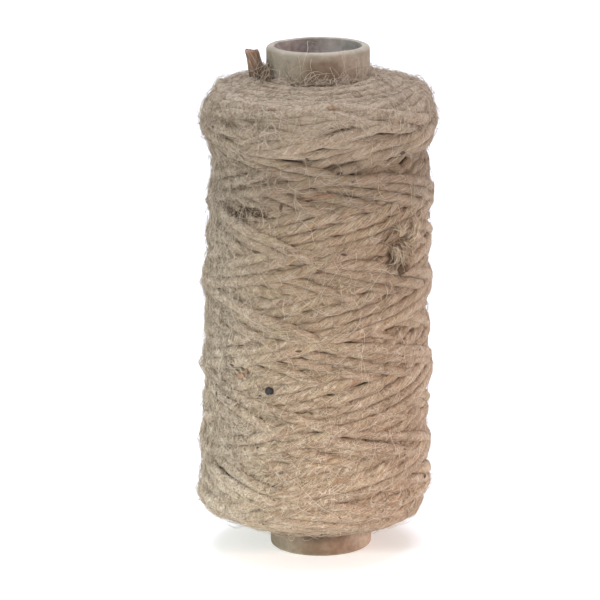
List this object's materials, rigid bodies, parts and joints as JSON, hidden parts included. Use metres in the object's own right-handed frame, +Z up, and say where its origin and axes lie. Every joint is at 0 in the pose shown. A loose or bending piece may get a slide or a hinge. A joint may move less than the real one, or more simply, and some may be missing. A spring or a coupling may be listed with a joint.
{
  "type": "roll of jute twine on a cardboard tube",
  "caption": "Roll of hairy natural jute twine, cross-wound into a barrel with rounded shoulders on an open cardboard tube that sticks out at both ends.",
  "frame": {"origin": "middle of the tube's lower end, on the surface that the roll stands on", "axes": "+Z up along the tube's axis, -Y the side with the clearest crossings, +X to its right with the frayed outer end"},
  "size_m": [0.0696, 0.0706, 0.15],
  "materials": {
    "cardboard": "matt grey-brown spiral-wound board with a soft, slightly worn rim",
    "jute": "matt undyed three-ply jute, hairy, with loose pale fibres",
    "jute_bark": "matt dark brown jute with bark left on it",
    "jute_frayed": "matt loose jute fibres, combed open"
  },
  "bodies": {
    "root": {"core_tube": "cardboard", "winding": "jute", "starting_end": "jute_bark", "outer_end": "jute_frayed"}
  },
  "joints": []
}
